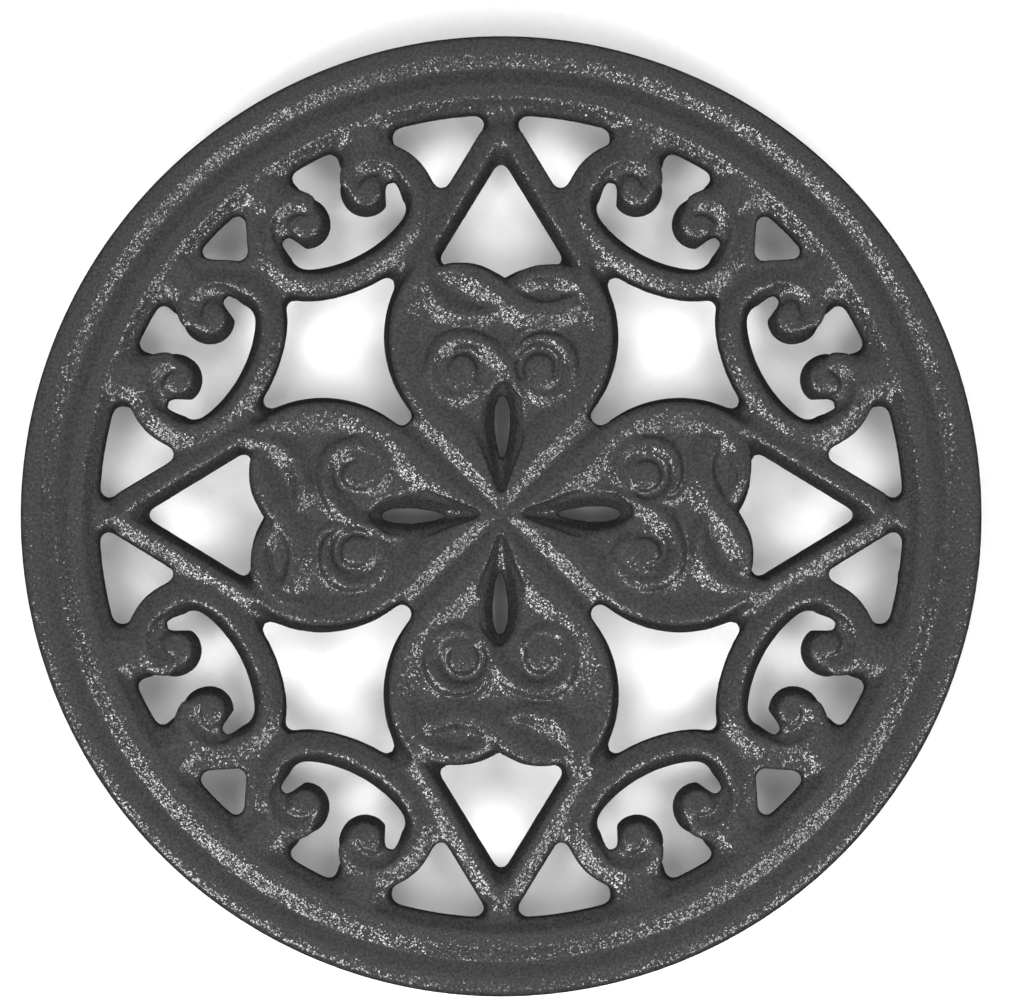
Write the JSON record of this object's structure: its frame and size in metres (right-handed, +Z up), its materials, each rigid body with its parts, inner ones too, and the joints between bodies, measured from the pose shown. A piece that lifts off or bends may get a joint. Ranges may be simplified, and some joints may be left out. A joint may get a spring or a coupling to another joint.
{
  "type": "trivet",
  "caption": "Round cast-iron trivet with an openwork top of petals, arches and C-scrolls inside a grooved rim, standing on short legs with rubber caps.",
  "frame": {"origin": "on the table, under the middle of the rim", "axes": "+Z up from the table; +Y along a petal's axis, which is up in the picture"},
  "size_m": [0.195, 0.195, 0.0215],
  "materials": {
    "iron": "semi-gloss black powder coat",
    "rubber": "matte"
  },
  "bodies": {
    "root": {"casting": "iron", "foot_cap_1": "rubber", "foot_cap_2": "rubber", "foot_cap_3": "rubber"}
  },
  "joints": []
}
